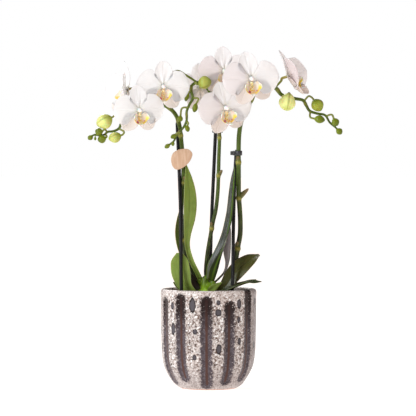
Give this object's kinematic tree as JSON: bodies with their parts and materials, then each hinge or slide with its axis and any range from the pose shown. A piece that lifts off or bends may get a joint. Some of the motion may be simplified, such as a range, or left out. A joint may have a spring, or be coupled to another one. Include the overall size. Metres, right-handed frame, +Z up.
{
  "type": "potted moth orchid",
  "caption": "White moth orchid with arching flower spikes tied to stakes, strap leaves and buds, in a grow pot of bark inside a fluted glazed ceramic cover pot.",
  "frame": {"origin": "middle of the cover pot's flat base", "axes": "+Z up, +X to the right and +Y to the back as seen in the picture"},
  "size_m": [0.2939, 0.1129, 0.3958],
  "materials": {
    "glaze": "gloss",
    "grow_plastic": "satin",
    "bark": "matte",
    "leaf": "satin",
    "dark_leaf": "satin",
    "spike": "satin",
    "bud": "satin",
    "petal": "matte",
    "lip": "satin",
    "stake": "satin",
    "clip": "satin",
    "tag_wood": "matte"
  },
  "bodies": {
    "root": {"pot": "glaze", "grow_pot": "grow_plastic", "bark": "bark", "crown": "leaf", "leaf_left_tall": "leaf", "leaf_left_back": "leaf", "leaf_left_folded": "leaf", "leaf_left_small": "leaf", "leaf_left_low": "dark_leaf", "leaf_right_tall": "leaf", "leaf_right_back": "dark_leaf", "leaf_right_broad": "dark_leaf", "leaf_right_low": "leaf", "leaf_right_far": "dark_leaf", "leaf_front_small": "leaf", "stake_left": "stake", "stake_middle": "stake", "stake_right": "stake", "clip_left": "clip", "clip_middle": "clip", "clip_right": "clip", "tag": "tag_wood", "spike_left": "spike", "spike_middle": "spike", "spike_right": "spike", "bud_left_first": "bud", "bud_left_second": "bud", "bud_middle_first": "bud", "bud_right_first": "bud", "bud_right_second": "bud", "bloom_left_side_tepals": "petal", "bloom_left_side_lip": "lip", "bloom_left_front_tepals": "petal", "bloom_left_front_lip": "lip", "bloom_left_upper_tepals": "petal", "bloom_left_upper_lip": "lip", "bloom_middle_back_tepals": "petal", "bloom_middle_back_lip": "lip", "bloom_middle_top_tepals": "petal", "bloom_middle_top_lip": "lip", "bloom_right_front_tepals": "petal", "bloom_right_front_lip": "lip", "bloom_middle_low_tepals": "petal", "bloom_middle_low_lip": "lip", "bloom_right_side_tepals": "petal", "bloom_right_side_lip": "lip"}
  },
  "joints": []
}
